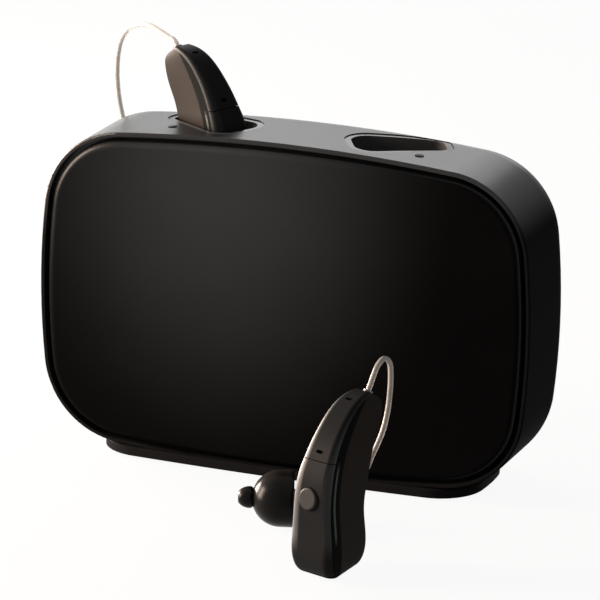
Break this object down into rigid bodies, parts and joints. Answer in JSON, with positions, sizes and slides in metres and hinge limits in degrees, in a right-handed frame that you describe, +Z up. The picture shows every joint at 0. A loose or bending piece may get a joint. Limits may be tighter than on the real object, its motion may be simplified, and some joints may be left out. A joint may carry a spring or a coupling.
{
  "type": "hearing aid charger",
  "caption": "Rounded desk charger with a crowned front, a low foot and wedge pockets in its top, with a docked and a free-standing hearing aid, each with push button, thin wire and ear dome.",
  "frame": {"origin": "on the table, at the centre of the base plate's underside", "axes": "+Z up, -Y towards the front cover, +X to the right seen from the front"},
  "size_m": [0.082, 0.074, 0.0669],
  "materials": {
    "housing": "satin, fine grain",
    "cover": "satin",
    "base": "satin",
    "foot": "matte",
    "screw": "plated",
    "weight": "as cast",
    "frame": "moulded",
    "circuit": "solder mask",
    "inlet": "plated",
    "liner": "polished",
    "copper": "enamelled winding",
    "ferrite": "sintered",
    "led": "moulded",
    "light_window": "clear rod",
    "aid_flank": "pearl lacquer",
    "aid_spine": "satin",
    "aid_button": "satin",
    "small_metal": "plated",
    "battery_can": "drawn can",
    "wire_plug": "moulded",
    "wire": "clear jacket over pale leads",
    "receiver": "moulded",
    "dome": "soft, slightly see-through"
  },
  "bodies": {
    "charger": {"main_housing": "housing", "front_cover": "cover", "base_plate": "base", "rubber_foot": "foot", "base_screws": "screw", "ballast_weight": "weight", "inner_frame": "frame", "frame_screws": "screw", "main_board": "circuit", "board_screws": "screw", "power_inlet": "inlet", "pocket_liner_left": "liner", "pocket_liner_right": "liner", "charging_coil_left": "copper", "charging_coil_right": "copper", "ferrite_plate_left": "ferrite", "ferrite_plate_right": "ferrite", "status_led_left": "led", "status_led_right": "led", "light_guide_left": "light_window", "light_guide_right": "light_window"},
    "left_aid": {"left_aid_shell": "aid_flank", "left_aid_mic_cover": "aid_spine", "left_aid_button_cover": "aid_spine", "left_aid_switch": "small_metal", "left_aid_battery": "battery_can", "left_aid_coil": "copper", "left_aid_board": "circuit", "left_aid_front_mic": "small_metal", "left_aid_rear_mic": "small_metal", "left_aid_wire_plug": "wire_plug", "left_aid_wire": "wire", "left_aid_receiver": "receiver", "left_aid_dome": "dome"},
    "left_button": {"left_aid_push_button": "aid_button"},
    "right_aid": {"right_aid_shell": "aid_flank", "right_aid_mic_cover": "aid_spine", "right_aid_button_cover": "aid_spine", "right_aid_switch": "small_metal", "right_aid_battery": "battery_can", "right_aid_coil": "copper", "right_aid_board": "circuit", "right_aid_front_mic": "small_metal", "right_aid_rear_mic": "small_metal", "right_aid_wire_plug": "wire_plug", "right_aid_wire": "wire", "right_aid_receiver": "receiver", "right_aid_dome": "dome"},
    "right_button": {"right_aid_push_button": "aid_button"}
  },
  "joints": [
    {"name": "left_aid_lift", "type": "slide", "parent": "charger", "child": "left_aid", "axis": [0, 0, 1], "range_m": [0, 0.036]},
    {"name": "left_button_press", "type": "slide", "parent": "left_aid", "child": "left_button", "axis": [-0.8651, 0.4596, -0.2008], "range_m": [0, 0.0003], "stiffness_N_per_m": 1500},
    {"name": "right_aid_lift", "type": "slide", "parent": "charger", "child": "right_aid", "axis": [0, 0, 1], "range_m": [0, 0.06]},
    {"name": "right_button_press", "type": "slide", "parent": "right_aid", "child": "right_button", "axis": [0.3549, 0.9231, -0.1481], "range_m": [0, 0.0003], "stiffness_N_per_m": 1500}
  ]
}
